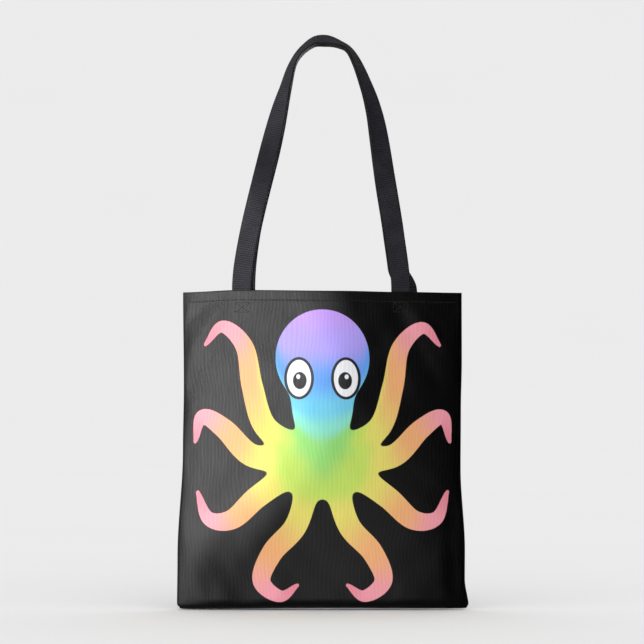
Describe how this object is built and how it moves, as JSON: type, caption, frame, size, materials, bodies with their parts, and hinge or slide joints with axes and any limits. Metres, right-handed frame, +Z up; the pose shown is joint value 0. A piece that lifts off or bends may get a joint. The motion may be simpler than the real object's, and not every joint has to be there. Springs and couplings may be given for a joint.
{
  "type": "tote bag",
  "caption": "Flat cloth tote bag with two long webbing handles that fold down and a mouth that opens, printed on the front.",
  "frame": {"origin": "the hanging point, under the apex of the two handles", "axes": "+Z up, the front with the print faces -Y, +X to the right as seen from the front"},
  "size_m": [0.372, 0.049, 0.7348],
  "materials": {
    "printed_cloth": "matt ribbed weave with a dyed print",
    "cloth": "matt ribbed weave",
    "webbing": "ribbed webbing with a slight sheen",
    "thread": "twisted thread"
  },
  "bodies": {
    "bag": {"back_panel": "cloth", "front_side_left": "printed_cloth", "front_side_right": "printed_cloth", "side_seam_left": "cloth", "side_seam_right": "cloth", "bottom_seam": "cloth", "back_hem": "cloth", "front_hem_left": "cloth", "front_hem_right": "cloth", "back_hem_thread": "thread", "front_hem_thread_left": "thread", "front_hem_thread_right": "thread", "back_handle_end_left": "webbing", "back_handle_end_right": "webbing", "back_handle_stitches": "thread"},
    "front_mouth": {"front_panel": "printed_cloth", "front_hem": "cloth", "front_hem_thread": "thread", "front_handle_end_left": "webbing", "front_handle_end_right": "webbing", "front_handle_stitches": "thread"},
    "front_handle": {"front_handle": "webbing"},
    "back_handle": {"back_handle": "webbing"}
  },
  "joints": [
    {"name": "mouth_opens", "type": "hinge", "parent": "bag", "child": "front_mouth", "pos_m": [0, -0.0002, -0.722], "axis": [1, 0, 0], "range_deg": [0, 4.5]},
    {"name": "front_handle_folds", "type": "hinge", "parent": "front_mouth", "child": "front_handle", "pos_m": [0, -0.0084, -0.3154], "axis": [1, 0, 0], "range_deg": [0, 172]},
    {"name": "back_handle_folds", "type": "hinge", "parent": "bag", "child": "back_handle", "pos_m": [0, 0.0084, -0.3154], "axis": [-1, 0, 0], "range_deg": [0, 172]}
  ]
}
